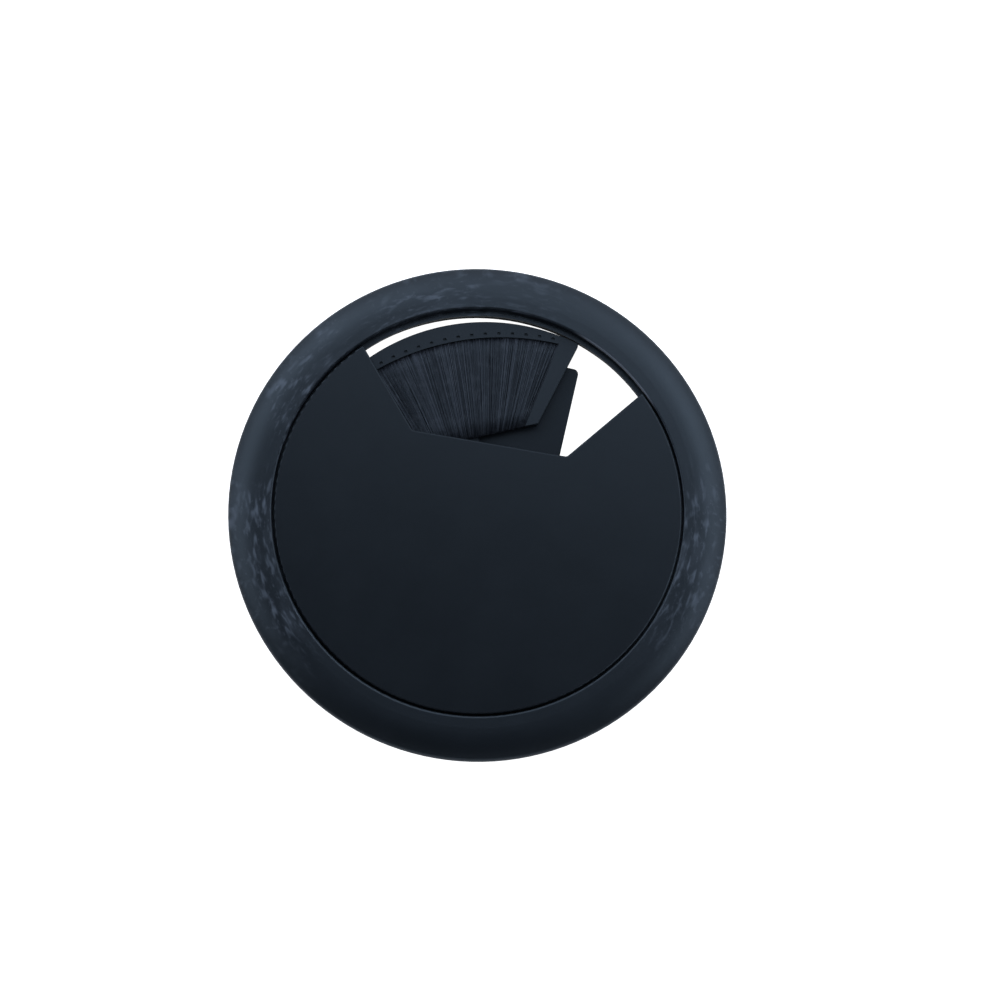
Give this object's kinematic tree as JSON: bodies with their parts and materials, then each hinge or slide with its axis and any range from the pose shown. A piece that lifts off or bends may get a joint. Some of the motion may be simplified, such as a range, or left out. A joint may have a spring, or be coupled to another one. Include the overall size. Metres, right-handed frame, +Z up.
{
  "type": "desk grommet",
  "caption": "Round flanged desk grommet with a flush turning cover, a flared cable mouth and a bristle brush that swings under the cover to close it.",
  "frame": {"origin": "centre of the flange's underside, on the barrel's axis, where the desk's surface is", "axes": "+Z up out of the desk, +Y along the axis of the cover's mouth at rest, +X to its right seen from above"},
  "size_m": [0.0918, 0.0918, 0.012],
  "materials": {
    "base_plastic": "satin black moulded plastic with fine grain and pale rub marks",
    "cover_plastic": "matte black moulded plastic with very fine grain",
    "tongue_plastic": "matte black moulded plastic",
    "brush_plastic": "matte dark moulded plastic",
    "bristle_nylon": "dark nylon filaments with a soft sheen",
    "screw_steel": "zinc-plated steel"
  },
  "bodies": {
    "base": {"base_ring": "base_plastic"},
    "cover": {"cover_disc": "cover_plastic", "support_tongue": "tongue_plastic", "pivot_screw": "screw_steel", "pivot_washer": "screw_steel"},
    "brush": {"brush_carrier": "brush_plastic", "brush_clamp": "brush_plastic", "bristle_tufts": "bristle_nylon"}
  },
  "joints": [
    {"name": "cover_turn", "type": "hinge", "parent": "base", "child": "cover", "pos_m": [0, 0, 0], "axis": [0, 0, 1], "continuous": true},
    {"name": "brush_swing", "type": "hinge", "parent": "cover", "child": "brush", "pos_m": [0, 0, 0], "axis": [0, 0, 1], "range_deg": [-22.6, 73.4]}
  ]
}
